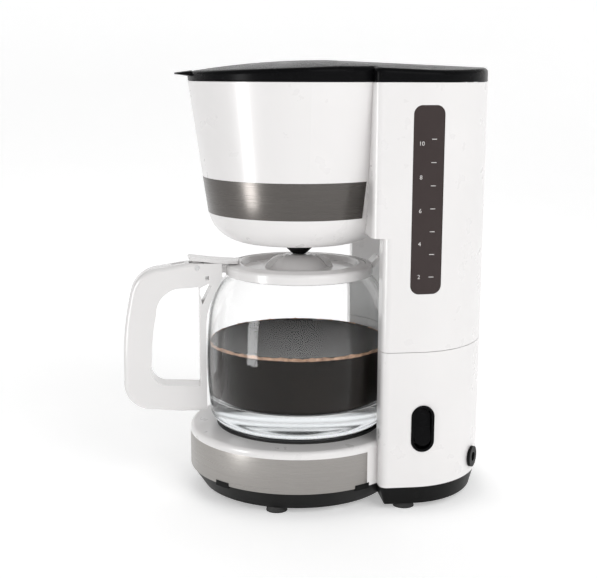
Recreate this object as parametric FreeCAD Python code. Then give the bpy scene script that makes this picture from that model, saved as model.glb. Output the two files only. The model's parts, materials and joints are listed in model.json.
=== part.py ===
import FreeCAD, Part
import math
import os

# Drip coffee maker with a glass carafe. Millimetres, +Z up, the front faces -Y and the
# water gauge faces +X. While modelling, x = y = 0 is the middle of the round base and
# z = 0 is the table. save() then moves every piece so that the origin is the middle
# of the machine's footprint.

V = FreeCAD.Vector

# ---- driving dimensions -------------------------------------------------
WALL = 2.6                 # moulded wall thickness
PAN_BOTTOM = 4.2           # underside of the bottom pan
BASE_BOTTOM = 18.4         # seam between the pan and the lower housing
BASE_R = 83.7
BASE_TOP = 50.5
BASE_EDGE_R = 3.5
BAND_T = 0.6               # sheet thickness of the trim bands
BASE_BAND_TOP = 44.9
BASE_BAND_END_Y = 44.7
SEAM_Z = 121.5             # seam between the lower and the upper housing
SEAM_GAP = 0.4
RIM_Z = 314.5              # top edge of the upper housing

TOWER_HALF = 76.7          # half width of the tower
TOWER_MID_Y = 79.4         # where its straight sides turn into the half ellipse at the back
TOWER_DEPTH = 64.0         # depth of that half ellipse
TOWER_FRONT = 53.3         # front face beside the carafe
TOWER_CORNER = 6.0
HEAD_FRONT = 45.0          # front face of the tower beside the head
HEAD_CHEEK_Z = 205.0       # height from which the tower reaches forward to it
REAR_Y = TOWER_MID_Y + TOWER_DEPTH

BREW_Y = 1.7               # brewing axis: carafe, basket and drip stop
NICHE_R = 79.0             # hollow in the tower that the carafe stands in
HEAD_RIM_R = 82.4
HEAD_LOW_R = 68.0          # radius where the head's side turns in
HEAD_LOW_Z = 217.0
HEAD_FLAT_R = 43.0
HEAD_FLAT_Z = 194.4
HEAD_BAND_TOP = 244.1
HEAD_BAND_END_Y = 42.3
TANK_FLOOR = 150.0

LID_GAP = 0.3
LID_BOTTOM = RIM_Z + LID_GAP
LID_TOP = 330.3
LID_TOP_Y = 21.0           # the lid is highest here
LID_CROWN_R = 603.0
LID_FALL = 0.041           # slope of the lid towards the back
LID_WALL = 2.4
LID_TAB_Y = -92.3          # tip of the lift tab
HINGE_Y = REAR_Y - 5.3
HINGE_Z = 319.0
HINGE_R = 3.2
HINGE_PIN_R = 1.5
HINGE_CLEAR = 0.06
HINGE_CUT_Z = 312.0        # the housing's rim is lower behind the hinge
HINGE_CUT_HALF = 30.0

PLATE_R = 62.4
PLATE_TOP = 52.8
SEAL_R = 64.6

GLASS_BOTTOM = PLATE_TOP + 0.3
GLASS_R = 71.9
GLASS_FLOOR = 61.5         # inside floor: the heel is thick glass
GLASS_RIM_Z = 174.0
CARAFE_LID_TOP = 183.3
HANDLE_FRONT = -134.3
HANDLE_HALF = 9.5          # half width of the handle
HANDLE_EDGE_R = 4.0         # radius of its outer edges
LEVER_PIN = (-77.4, 174.8)

WINDOW_Y = (72.8, 96.0)
WINDOW_Z = (164.3, 299.0)
WINDOW_CORNER = 6.5
SWITCH_Y = 84.6
SWITCH_Z = 63.4
SWITCH_W = 17.3
SWITCH_H = 35.4
SWITCH_FRONT = 77.2
ROCKER_AXIS_X = 70.0
ROCKER_TILT = 8.0          # the rocker rests tilted to its off side

HOSE_X = 22.0
HOSE_Y = 112.0
HOSE_R = 6.0
STUB_R = 4.0
STUB_Z = 41.0

FOOT_R = 8.0
FEET = [(-63.0, -22.0), (63.0, -22.0), (-64.0, 74.0), (64.0, 74.0)]
PAN_POSTS = [(-66.0, 23.0), (66.0, 23.0), (-52.0, 110.0), (52.0, 110.0)]
SEAM_POSTS = [(-70.3, 66.0), (70.3, 66.0), (-28.0, 133.0), (28.0, 133.0)]

MIDDLE_Y = (REAR_Y + HANDLE_FRONT) / 2


# ---- helpers ------------------------------------------------------------
def cyl(r, z0, z1, x=0.0, y=0.0):
    return Part.makeCylinder(r, z1 - z0, V(x, y, z0))


def ring(r_out, r_in, z0, z1, x=0.0, y=0.0):
    return cyl(r_out, z0, z1, x, y).cut(cyl(r_in, z0 - 1, z1 + 1, x, y))


def block(x0, x1, y0, y1, z0, z1):
    return Part.makeBox(x1 - x0, y1 - y0, z1 - z0, V(x0, y0, z0))


def rod(start, direction, r, length):
    return Part.makeCylinder(r, length, V(*start), V(*direction))


def join(first, *others):
    return first.fuse(list(others)).removeSplitter()


def both_sides(shape):
    """The shape and its mirror image across the middle plane."""
    return shape.fuse(shape.mirror(V(0, 0, 0), V(1, 0, 0)))


def outline(parts, point):
    """Closed wire from a list of points; a pair (middle, end) makes an arc."""
    edges = []
    start = previous = parts[0]
    for item in parts[1:] + [start]:
        is_arc = isinstance(item[0], tuple)
        end = item[1] if is_arc else item
        if is_arc:
            edges.append(Part.Arc(point(previous), point(item[0]), point(end)).toShape())
        elif end != previous:
            edges.append(Part.makeLine(point(previous), point(end)))
        previous = end
    return Part.Wire(edges)


def turned(parts, y=0.0):
    """Solid of revolution about the vertical line at y, from an (r, z) outline."""
    face = Part.Face(outline(parts, lambda p: V(p[0], y, p[1])))
    return face.revolve(V(0, y, 0), V(0, 0, 1), 360)


def side_plate(parts, half):
    """Plate of the given half thickness along X, from a (y, z) outline."""
    face = Part.Face(outline(parts, lambda p: V(-half, p[0], p[1])))
    return face.extrude(V(2 * half, 0, 0))


def tower_wire(z, front, inset):
    """Tower plan: straight front and sides, rounded corners, half ellipse behind."""
    half = TOWER_HALF - inset
    near = front + inset
    corner = max(TOWER_CORNER - inset, 1.0)
    slant = corner * (1 - math.sqrt(0.5))
    ellipse = Part.Ellipse(V(0, TOWER_MID_Y, z), half, TOWER_DEPTH - inset)
    back = Part.ArcOfEllipse(ellipse, 0, math.pi).toShape()
    return Part.Wire([
        back,
        Part.makeLine(V(-half, TOWER_MID_Y, z), V(-half, near + corner, z)),
        Part.Arc(V(-half, near + corner, z), V(-half + slant, near + slant, z),
                 V(-half + corner, near, z)).toShape(),
        Part.makeLine(V(-half + corner, near, z), V(half - corner, near, z)),
        Part.Arc(V(half - corner, near, z), V(half - slant, near + slant, z),
                 V(half, near + corner, z)).toShape(),
        Part.makeLine(V(half, near + corner, z), V(half, TOWER_MID_Y, z))])


def tower(z0, z1, front=TOWER_FRONT, inset=0.0):
    return Part.Face(tower_wire(z0, front, inset)).extrude(V(0, 0, z1 - z0))


def pill(width, height, x0, x1, y, z):
    """Prism along X with a pill-shaped section, standing on end."""
    r = width / 2
    straight = height / 2 - r
    body = block(x0, x1, y - r, y + r, z - straight, z + straight)
    ends = [rod((x0, y, z + side * straight), (1, 0, 0), r, x1 - x0) for side in (-1, 1)]
    return join(body, *ends)


def window_prism(grow):
    """Rounded rectangle along X through the tower's side, larger by grow all round."""
    y0, y1 = WINDOW_Y[0] - grow, WINDOW_Y[1] + grow
    z0, z1 = WINDOW_Z[0] - grow, WINDOW_Z[1] + grow
    r = WINDOW_CORNER + grow
    shape = join(block(60, 90, y0 + r, y1 - r, z0, z1), block(60, 90, y0, y1, z0 + r, z1 - r))
    corners = [rod((60, y, z), (1, 0, 0), r, 30) for y in (y0 + r, y1 - r) for z in (z0 + r, z1 - r)]
    return join(shape, *corners)


def save(node, shape):
    shape = shape.copy()
    shape.translate(V(0, -MIDDLE_Y, 0))
    if not shape.isValid():
        print("not valid:", node)
    solids = shape.Solids
    shape = solids[0] if len(solids) == 1 else Part.makeCompound(solids)
    shape.exportStep("parts/" + node + ".step")
    print("%-20s solids %2d volume %10.1f" % (node, len(solids), shape.Volume))


# ---- housing ------------------------------------------------------------
def head_outline(inset=0.0):
    """Head: flat underside, curved turn, conical side."""
    return [(0, HEAD_FLAT_Z + inset), (HEAD_FLAT_R, HEAD_FLAT_Z + inset),
            ((60.6 - 0.7 * inset, 202.9 + 0.8 * inset), (HEAD_LOW_R - inset, HEAD_LOW_Z)),
            (HEAD_RIM_R - inset, RIM_Z + inset), (0, RIM_Z + inset)]


def upper_housing():
    low = tower(SEAM_Z, HEAD_CHEEK_Z + 1).cut(cyl(NICHE_R, 0, HEAD_CHEEK_Z, 0, BREW_Y))
    high = tower(HEAD_CHEEK_Z, RIM_Z, HEAD_FRONT)
    shell = join(turned(head_outline()), low, high)

    well = turned(head_outline(WALL))
    outlet = cyl(13.0, HEAD_FLAT_Z - 1, HEAD_FLAT_Z + WALL + 1, 0, BREW_Y)
    divider = cyl(HEAD_RIM_R + 1.7, SEAM_Z - 1, RIM_Z + 2, 0, 1.0)
    tank = tower(TANK_FLOOR, RIM_Z + 1, HEAD_FRONT, WALL).cut(divider)
    tank = tank.common(block(-90, 90, 58, 160, TANK_FLOOR, RIM_Z + 1))
    under_tank = tower(SEAM_Z - 1, TANK_FLOOR - WALL, TOWER_FRONT, WALL)
    under_tank = under_tank.cut(cyl(NICHE_R + WALL, 0, RIM_Z, 0, BREW_Y))
    floor_holes = [cyl(4.5, TANK_FLOOR - WALL - 1, TANK_FLOOR + 1, x, HOSE_Y) for x in (-HOSE_X, HOSE_X)]
    arm_notch = block(2, 30, 70, 92, 297, RIM_Z + 1)
    hinge_relief = block(-HINGE_CUT_HALF, HINGE_CUT_HALF, HINGE_Y - 4.0, 160, HINGE_CUT_Z, RIM_Z + 1)
    band_seat = head_band(0.0, 0.0)
    shell = shell.cut([well, outlet, tank, under_tank, arm_notch, hinge_relief,
                       window_prism(0.0), band_seat] + floor_holes)

    posts = []
    for x, y in SEAM_POSTS:
        post = cyl(4.2, SEAM_Z, SEAM_Z + 20, x, y).common(tower(SEAM_Z, SEAM_Z + 20, TOWER_FRONT, 1.0))
        posts.append(post.cut(cyl(1.5, SEAM_Z - 1, SEAM_Z + 14, x, y)))
    lugs = []
    for x in (13.0, -17.0):
        stem = join(block(x, x + 4, HINGE_Y - 2.5, HINGE_Y + 1.8, 300, HINGE_Z),
                    block(x, x + 4, HINGE_Y - 2.5, HINGE_Y + 3.5, 300, 311))
        barrel = rod((x, HINGE_Y, HINGE_Z), (1, 0, 0), HINGE_R, 4)
        bore = rod((x - 1, HINGE_Y, HINGE_Z), (1, 0, 0), HINGE_PIN_R, 6)
        lugs.append(join(stem, barrel).cut(bore))
    return join(shell, *(posts + lugs))


def head_band(skin_out, grow):
    """Strip round the front of the head, let into its side."""
    def r(z):
        return HEAD_LOW_R + (z - HEAD_LOW_Z) * (HEAD_RIM_R - HEAD_LOW_R) / (RIM_Z - HEAD_LOW_Z)
    z0, z1 = HEAD_LOW_Z - grow, HEAD_BAND_TOP + grow
    strip = turned([(r(z0) - BAND_T, z0), (r(z0) + skin_out, z0),
                    (r(z1) + skin_out, z1), (r(z1) - BAND_T, z1)])
    return strip.common(block(-90, 90, -90, HEAD_BAND_END_Y, 200, 260))


def lower_housing():
    edge = BASE_EDGE_R
    mid = edge * math.sqrt(0.5)
    base = turned([(0, BASE_BOTTOM), (BASE_R, BASE_BOTTOM), (BASE_R, BASE_TOP - edge),
                   ((BASE_R - edge + mid, BASE_TOP - edge + mid), (BASE_R - edge, BASE_TOP)), (0, BASE_TOP)])
    column = tower(BASE_BOTTOM, SEAM_Z - SEAM_GAP).cut(cyl(NICHE_R, BASE_TOP, SEAM_Z, 0, BREW_Y))
    base_hollow = cyl(BASE_R - WALL, BASE_BOTTOM - 1, BASE_TOP - WALL)
    tower_hollow = tower(BASE_BOTTOM - 1, SEAM_Z, TOWER_FRONT, WALL)
    tower_hollow = tower_hollow.cut(cyl(NICHE_R + WALL, BASE_TOP - WALL, SEAM_Z + 1, 0, BREW_Y))
    plate_hole = cyl(SEAL_R, BASE_TOP - WALL - 1, BASE_TOP + 1, 0, BREW_Y)
    switch_hole = pill(SWITCH_W - 2, SWITCH_H - 2, 68, 90, SWITCH_Y, SWITCH_Z)
    vents = [block(-17, 17, REAR_Y - 9, 155, z, z + 2.4) for z in (58, 64, 70, 76, 82)]
    band_seat = ring(BASE_R + 1, BASE_R - BAND_T, BASE_BOTTOM - 1, BASE_BAND_TOP)
    band_seat = band_seat.common(block(-90, 90, -90, BASE_BAND_END_Y, 0, 60))
    shell = join(base, column).cut([base_hollow, tower_hollow, plate_hole, switch_hole, band_seat,
                                    gland_rod(5.8, -10, 10)] + vents)
    posts = []
    for x, y in PAN_POSTS[:2]:
        posts.append(cyl(4.2, BASE_BOTTOM, BASE_TOP - 1, x, y))
    for x, y in PAN_POSTS[2:]:
        rib = block(min(x, x * 1.44), max(x, x * 1.44), y - 1, y + 1, BASE_BOTTOM + 2, 42)
        posts.append(join(cyl(4.2, BASE_BOTTOM, 42, x, y), rib.common(tower(0, 60, TOWER_FRONT, 1.0))))
    for x, y in SEAM_POSTS:
        post = cyl(4.2, SEAM_Z - 22, SEAM_Z - SEAM_GAP, x, y)
        posts.append(post.common(tower(0, SEAM_Z, TOWER_FRONT, 1.0)))
    bores = [cyl(1.5, BASE_BOTTOM - 1, 36, x, y) for x, y in PAN_POSTS]
    bores += [cyl(1.5, SEAM_Z - 30, SEAM_Z + 1, x, y) for x, y in SEAM_POSTS]
    return join(shell, *posts).cut(bores)


def pan_body(bottom, top, shrink):
    cone = Part.makeCone(BASE_R - 10.0 - shrink, BASE_R - 0.5 - shrink, BASE_BOTTOM - PAN_BOTTOM,
                         V(0, 0, PAN_BOTTOM))
    foot = Part.makeLoft([tower_wire(PAN_BOTTOM, TOWER_FRONT, 4.3 + shrink),
                          tower_wire(BASE_BOTTOM, TOWER_FRONT, 0.5 + shrink)], True, True)
    return join(cone, foot).common(block(-100, 100, -100, 160, bottom, top))


def bottom_pan():
    pan = pan_body(PAN_BOTTOM, BASE_BOTTOM, 0.0).cut(
        pan_body(PAN_BOTTOM + 2.4, BASE_BOTTOM, 2.4))
    posts = [cyl(4.2, PAN_BOTTOM + 1, BASE_BOTTOM, x, y) for x, y in PAN_POSTS]
    clips = []
    for angle in (-48, 29):
        clip = ring(BASE_R + 0.3, BASE_R - BAND_T, BASE_BOTTOM, BASE_BOTTOM + 2.6)
        wedge = block(0, 100, -6.5, 6.5, 0, 60)
        wedge.rotate(V(0, 0, 0), V(0, 0, 1), angle)
        root = ring(BASE_R + 0.3, BASE_R - 3, BASE_BOTTOM - 1.5, BASE_BOTTOM).common(wedge)
        clips.append(both_sides(join(clip.common(wedge), root)))
    pan = join(pan, *(posts + clips))
    bores = [cyl(3.5, PAN_BOTTOM - 1, PAN_BOTTOM + 2.4, x, y) for x, y in PAN_POSTS]
    bores += [cyl(1.6, PAN_BOTTOM, BASE_BOTTOM + 1, x, y) for x, y in PAN_POSTS]
    bores += [cyl(3.0, PAN_BOTTOM - 1, PAN_BOTTOM + 4, x, y) for x, y in FEET]
    slots = [block(-18, 18, y, y + 3, PAN_BOTTOM - 1, PAN_BOTTOM + 3) for y in (-30, -20, -10, 0, 10, 20)]
    return pan.cut(bores + slots)


def rubber_feet():
    def foot(x, y):
        pad = Part.makeCone(FOOT_R, FOOT_R - 0.8, PAN_BOTTOM, V(x, y, 0))
        return join(pad, cyl(3.0, PAN_BOTTOM - 0.5, PAN_BOTTOM + 2.4, x, y),
                    Part.makeCone(3.9, 2.6, 1.8, V(x, y, PAN_BOTTOM + 2.4)))
    return Part.makeCompound([foot(x, y) for x, y in FEET])


def screw(x, y, z_head, head_r, head_h, length):
    body = join(cyl(head_r, z_head, z_head + head_h, x, y), cyl(1.5, z_head + head_h, z_head + length, x, y))
    cross = [block(x - 1.8, x + 1.8, y - 0.4, y + 0.4, z_head - 1, z_head + 0.9),
             block(x - 0.4, x + 0.4, y - 1.8, y + 1.8, z_head - 1, z_head + 0.9)]
    return body.cut(cross)


def pan_screws():
    return Part.makeCompound([screw(x, y, PAN_BOTTOM + 0.4, 3.4, 2.0, 31) for x, y in PAN_POSTS])


def housing_screws():
    return Part.makeCompound([screw(x, y, SEAM_Z - 24.5, 2.4, 2.0, 37) for x, y in SEAM_POSTS])


def base_trim_band():
    band = ring(BASE_R + 0.05, BASE_R - BAND_T, BASE_BOTTOM + 0.1, BASE_BAND_TOP)
    band = band.common(block(-90, 90, -90, BASE_BAND_END_Y, 0, 60))
    for angle in (-48, 29):
        slot = block(70, 100, -6.6, 6.6, 0, BASE_BOTTOM + 2.7)
        slot.rotate(V(0, 0, 0), V(0, 0, 1), angle)
        band = band.cut(both_sides(slot))
    return band


def gauge_window():
    skin = tower(150, 306, HEAD_FRONT, 0.4).cut(tower(149, 307, HEAD_FRONT, WALL))
    return skin.common(window_prism(0.0)).common(block(60, 90, 60, 110, 150, 306))


def gauge_seal():
    skin = tower(150, 306, HEAD_FRONT, WALL).cut(tower(149, 307, HEAD_FRONT, WALL + 1.4))
    frame = window_prism(3.0).cut(window_prism(-0.6))
    return skin.common(frame)


# ---- cord outlet and switch ---------------------------------------------
def gland_rod(r, start, end):
    """Rod along the outlet's axis, square to the tower's curved back. 0 is the surface."""
    x = 48.0
    turn = math.acos(x / TOWER_HALF)
    y = TOWER_MID_Y + TOWER_DEPTH * math.sin(turn)
    out = V(math.cos(turn) / TOWER_HALF, math.sin(turn) / TOWER_DEPTH, 0).normalize()
    foot = V(x, y, 31.0) + out * start
    return Part.makeCylinder(r, end - start, foot, out)


def cord_gland():
    body = join(gland_rod(5.8, -5.5, 0.5), gland_rod(8.0, 0.2, 2.4), gland_rod(7.2, -5.5, -3.2))
    return body.cut(gland_rod(3.6, -8, 5))


def cord_clamp():
    clamp = block(22, 44, 114, 120, 20, 30)
    return clamp.cut(rod((33, 113, 25), (0, 1, 0), 3.4, 8))


def terminal_block():
    base = block(-8, 10, 118, 132, 20, 32)
    wells = [cyl(1.8, 24, 33, x, 125) for x in (-4, 1, 6)]
    return base.cut(wells)


def switch_bezel():
    flange = pill(SWITCH_W, SWITCH_H, 75.0, SWITCH_FRONT, SWITCH_Y, SWITCH_Z)
    flange = flange.cut(tower(20, 110))
    sleeve = pill(SWITCH_W - 2, SWITCH_H - 2, 66.0, SWITCH_FRONT, SWITCH_Y, SWITCH_Z)
    pivot = rod((ROCKER_AXIS_X, SWITCH_Y - 7.4, SWITCH_Z), (0, 1, 0), 1.3, 14.8)
    return join(flange, sleeve).cut([pill(13.2, 31.6, 60, 80, SWITCH_Y, SWITCH_Z), pivot])


def switch_body():
    case = block(50, 64.4, SWITCH_Y - 6.6, SWITCH_Y + 6.6, SWITCH_Z - 15, SWITCH_Z + 15)
    tabs = [block(43, 50.5, SWITCH_Y - 0.4, SWITCH_Y + 0.4, z - 3, z + 3)
            for z in (SWITCH_Z - 9, SWITCH_Z, SWITCH_Z + 9)]
    return join(case, *tabs)


def switch_rocker():
    face_x = ROCKER_AXIS_X + 4.5
    end_x = face_x + 15.7 * math.tan(math.radians(ROCKER_TILT))
    cap = pill(12.6, 27.5, ROCKER_AXIS_X - 3, SWITCH_FRONT, SWITCH_Y, SWITCH_Z)
    for side in (-1, 1):
        tip = (90, SWITCH_Z + side * 15.7)
        points = [V(face_x, 0, SWITCH_Z), V(end_x, 0, tip[1]), V(tip[0], 0, tip[1]), V(tip[0], 0, SWITCH_Z)]
        cap = cap.cut(Part.Face(Part.makePolygon(points + points[:1])).extrude(V(0, 120, 0)))
    cap = cap.common(rod((ROCKER_AXIS_X, 60, SWITCH_Z), (0, 1, 0), 15.5, 60))
    cap.rotate(V(ROCKER_AXIS_X, SWITCH_Y, SWITCH_Z), V(0, 1, 0), -ROCKER_TILT)
    return join(cap, rod((ROCKER_AXIS_X, SWITCH_Y - 7.2, SWITCH_Z), (0, 1, 0), 1.2, 14.4))


# ---- heater -------------------------------------------------------------
def warming_plate():
    top = turned([(0, PLATE_TOP - 1.1), (PLATE_R - 1.1, PLATE_TOP - 1.1), (PLATE_R - 1.1, 48.0),
                  (PLATE_R, 48.0), (PLATE_R, PLATE_TOP - 0.8),
                  ((PLATE_R - 0.23, PLATE_TOP - 0.23), (PLATE_R - 0.8, PLATE_TOP)), (0, PLATE_TOP)], BREW_Y)
    return top


def plate_seal_ring():
    return turned([(PLATE_R, 48.1), (SEAL_R, 48.1), (SEAL_R, BASE_TOP + 0.2), (PLATE_R + 0.9, BASE_TOP + 1.0),
                   (PLATE_R, BASE_TOP + 1.0)], BREW_Y)


def heater_casting():
    body = ring(52.0, 34.0, STUB_Z - 1, PLATE_TOP - 1.1, 0, BREW_Y)
    body = body.cut(block(-13, 13, 0, 70, 30, 60))
    stubs = [rod((x, 34, STUB_Z), (0, 1, 0), STUB_R, 32) for x in (-HOSE_X, HOSE_X)]
    bores = [rod((x, 30, STUB_Z), (0, 1, 0), 2.6, 40) for x in (-HOSE_X, HOSE_X)]
    groove = Part.makeTorus(43.0, 3.4, V(0, BREW_Y, STUB_Z - 1.2), V(0, 0, 1))
    pipes = join(*stubs)
    return join(body.cut(groove), pipes).cut(bores)


def heater_element():
    loop = Part.makeTorus(43.0, 3.3, V(0, BREW_Y, STUB_Z - 1.2), V(0, 0, 1))
    loop = loop.cut(block(-30.5, 30.5, 20, 70, 30, 50))
    loop = loop.cut(join(*[rod((x, 30, STUB_Z), (0, 1, 0), STUB_R + 0.3, 40) for x in (-HOSE_X, HOSE_X)]))
    return loop


def heater_clamp():
    bar = block(-36, 36, BREW_Y - 6, BREW_Y + 6, 35.0, 36.4)
    feet = [block(x - 2, x + 2, BREW_Y - 6, BREW_Y + 6, 36.4, STUB_Z - 1) for x in (-36, 36)]
    return join(bar, *feet).cut(cyl(2.1, 30, 40, 0, BREW_Y))


def heater_nut():
    points = [V(4 * math.cos(math.radians(60 * i)), BREW_Y + 4 * math.sin(math.radians(60 * i)), 31.8)
              for i in range(7)]
    nut = Part.Face(Part.makePolygon(points)).extrude(V(0, 0, 3.2))
    return join(nut, cyl(2.0, 30.5, PLATE_TOP - 1.1, 0, BREW_Y))


def thermostat():
    can = join(cyl(8.0, 44.0, PLATE_TOP - 1.1, 0, -19), cyl(6.0, 40.0, 44.0, 0, -19))
    tabs = [block(x - 1.6, x + 1.6, -19.4, -18.6, 35, 41) for x in (-3.5, 3.5)]
    return join(can, *tabs)


def thermal_fuses():
    return Part.makeCompound([rod((-10, y, 47.5), (1, 0, 0), 2.4, 20) for y in (18, 25)])


def run_of_wire(points, r):
    """Insulated lead: straight runs with round corners."""
    lead = None
    for start, end in zip(points, points[1:]):
        step = V(*end) - V(*start)
        run = join(Part.makeCylinder(r, step.Length, V(*start), step), Part.makeSphere(r, V(*end)))
        lead = run if lead is None else join(lead, run)
    return lead


def heater_leads():
    leads = [run_of_wire([(46.6, 77, 54), (44, 70, 40), (40, 68, 28), (34, 30, 28), (3.5, -16, 33)], 1.2),
             run_of_wire([(46.6, 92, 54), (44, 100, 44), (34, 116, 40), (6, 125, 34)], 1.2),
             run_of_wire([(-3.5, -24, 33), (-34, -14, 28), (-40, 60, 28), (-38, 90, 28), (-4, 125, 34)], 1.2)]
    return Part.makeCompound(leads)


# ---- water path ---------------------------------------------------------
def hose_solid(x, r, start_y, top_z):
    bend = 20.0
    flat = rod((x, start_y, STUB_Z), (0, 1, 0), r, HOSE_Y - bend - start_y)
    rise = cyl(r, STUB_Z + bend, top_z, x, HOSE_Y)
    section = Part.Face(Part.Wire([Part.makeCircle(r, V(x, HOSE_Y - bend, STUB_Z), V(0, 1, 0))]))
    turn = section.revolve(V(x, HOSE_Y - bend, STUB_Z + bend), V(1, 0, 0), 90)
    return flat.fuse([turn, rise])


def hose(x, top_z):
    return hose_solid(x, HOSE_R, 54, top_z).cut(hose_solid(x, STUB_R, 53, top_z + 1))


def hose_clips():
    clips = []
    for x, top_z in ((-HOSE_X, 123.0), (HOSE_X, 140.0)):
        lower = rod((x, 56, STUB_Z), (0, 1, 0), HOSE_R + 1, 5)
        clips.append(lower.cut(rod((x, 55, STUB_Z), (0, 1, 0), HOSE_R, 8)))
        clips.append(ring(HOSE_R + 1, HOSE_R, top_z - 8, top_z - 3, x, HOSE_Y))
    return Part.makeCompound(clips)


def check_valve_body():
    x, y = -HOSE_X, HOSE_Y
    ceiling = TANK_FLOOR - WALL
    body = join(cyl(8.0, 130, ceiling, x, y), cyl(4.4, ceiling, TANK_FLOOR + 2, x, y),
                cyl(STUB_R, 108, 130, x, y))
    chamber = cyl(4.5, 133, 145, x, y)
    bore = join(cyl(2.6, 107, 134, x, y), cyl(2.5, 144, TANK_FLOOR + 3, x, y))
    channels = [block(x - 4.3, x + 4.3, y - 0.8, y + 0.8, 131.4, 134),
                block(x - 0.8, x + 0.8, y - 4.3, y + 4.3, 131.4, 134)]
    return body.cut([chamber, bore] + channels)


def check_valve_ball():
    return Part.makeSphere(3.5, V(-HOSE_X, HOSE_Y, 136.6))


def tank_strainer():
    x, y = -HOSE_X, HOSE_Y
    cup = cyl(9.0, TANK_FLOOR, TANK_FLOOR + 10, x, y).cut(cyl(7.8, TANK_FLOOR, TANK_FLOOR + 8.8, x, y))
    slots = []
    for i in range(6):
        slot = block(-10, 10, -0.7, 0.7, TANK_FLOOR + 1.5, TANK_FLOOR + 7.5)
        slot.rotate(V(0, 0, 0), V(0, 0, 1), 30 * i)
        slot.translate(V(x, y, 0))
        slots.append(slot)
    return cup.cut(slots)


def riser_tube():
    x, y = HOSE_X, HOSE_Y
    pipe = join(cyl(STUB_R, 122, 303, x, y), cyl(8.0, TANK_FLOOR, TANK_FLOOR + 3, x, y))
    return pipe.cut(cyl(2.8, 121, 304, x, y))


def water_spreader():
    """Socket on the riser, a hollow arm over the tank wall and a shower disc."""
    reach = math.hypot(HOSE_X, HOSE_Y - BREW_Y)
    angle = math.degrees(math.atan2(BREW_Y - HOSE_Y, -HOSE_X))

    def arm(half, z0, z1, extra):
        bar = block(0, reach + extra, -half, half, z0, z1)
        bar.rotate(V(0, 0, 0), V(0, 0, 1), angle)
        bar.translate(V(HOSE_X, HOSE_Y, 0))
        return bar
    outer = join(cyl(7.5, 292, 309, HOSE_X, HOSE_Y), arm(6.0, 299, 309, 0), cyl(26.0, 299, 309, 0, BREW_Y))
    inner = join(cyl(5.6, 303.1, 307.4, HOSE_X, HOSE_Y), arm(4.2, 303.1, 307.4, -1),
                 cyl(24.4, 300.6, 307.4, 0, BREW_Y), cyl(STUB_R, 291, 304, HOSE_X, HOSE_Y))
    holes = []
    for count, radius in ((4, 7.0), (8, 14.0), (12, 20.5)):
        for i in range(count):
            turn = 2 * math.pi * i / count
            holes.append(cyl(1.1, 298, 302, radius * math.cos(turn), BREW_Y + radius * math.sin(turn)))
    return outer.cut([inner] + holes)


# ---- basket, filter and drip stop ---------------------------------------
def filter_basket():
    cup = turned([(0, 207), (46, 207), (67, 287), (73.5, 287), (73.5, 289.5), (64.6, 289.5),
                  (43.8, 209.5), (0, 209.5)], BREW_Y)
    skirt = ring(40, 38, HEAD_FLAT_Z + WALL, 207.5, 0, BREW_Y)
    boss = ring(11, 8.5, 195.2, 207.5, 0, BREW_Y)
    ears = [block(x - 1.5, x + 1.5, BREW_Y - 4, BREW_Y + 4, 288, 293) for x in (-70, 70)]
    shape = join(cup, skirt, boss, *ears)
    pivot = rod((-80, BREW_Y, 291), (1, 0, 0), 1.3, 160)
    drain = [cyl(4.6, 206, 211, 0, BREW_Y)]
    return shape.cut(drain + [pivot])


def basket_bail():
    """Wire handle, folded down on to the basket's rim."""
    loop = Part.makeTorus(67.2, 1.2, V(0, BREW_Y, 291), V(0, 0, 1))
    loop = loop.common(block(-90, 90, -90, BREW_Y, 280, 300))
    pins = [rod((x, BREW_Y, 291), (1, 0, 0), 1.2, 6.0) for x in (-72.4, 66.4)]
    return join(loop, *pins)


def filter_slope(z):
    """Radius of the filter's mesh at a height."""
    return 39.4 + (z - 218.1) * (60.4 - 39.4) / (288.6 - 218.1)


def filter_frame():
    rim = turned([(filter_slope(285.6) + 0.6, 285.6), (63.6, 289.6), (65.7, 289.6), (65.7, 291.4),
                  (61.4, 291.4), (61.4, 289.2), (filter_slope(288.6) + 0.6, 288.6)], BREW_Y)
    foot = turned([(34, 215.1), (41, 215.1), (filter_slope(219.6) + 1.4, 219.6),
                   (filter_slope(219.6) + 0.6, 219.6), (filter_slope(218.1) + 0.6, 217.4), (34, 217.4)], BREW_Y)
    ribs = []
    for i in range(6):
        rib = turned([(filter_slope(217.1) + 0.6, 217.1), (filter_slope(217.1) + 2.2, 217.1),
                      (filter_slope(287.6) + 2.2, 287.6), (filter_slope(287.6) + 0.6, 287.6)], BREW_Y)
        wedge = block(10, 90, -1.5, 1.5, 200, 300)
        wedge.rotate(V(0, 0, 0), V(0, 0, 1), 60 * i + 30)
        wedge.translate(V(0, BREW_Y, 0))
        ribs.append(rib.common(wedge))
    return join(rim, foot, *ribs)


def filter_mesh():
    wall = turned([(filter_slope(217.4), 217.4), (filter_slope(217.4) + 0.6, 217.4),
                   (filter_slope(288.6) + 0.6, 288.6), (filter_slope(288.6), 288.6)], BREW_Y)
    return join(wall, cyl(filter_slope(217.4) + 0.3, 217.4, 218.0, 0, BREW_Y))


def drip_stop_valve():
    tip = turned([(0, 183.7), (5.0, 183.7), (5.85, 184.2), (9.75, 188.0), (9.75, 189.8), (0, 189.8)], BREW_Y)
    return join(tip, cyl(2.6, 189, 209.5, 0, BREW_Y), cyl(1.6, 209, 212.9, 0, BREW_Y))


def drip_stop_seal():
    return turned([(1.6, 209.8), (7.6, 209.8), (6.4, 212.4), (1.6, 212.4)], BREW_Y)


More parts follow.
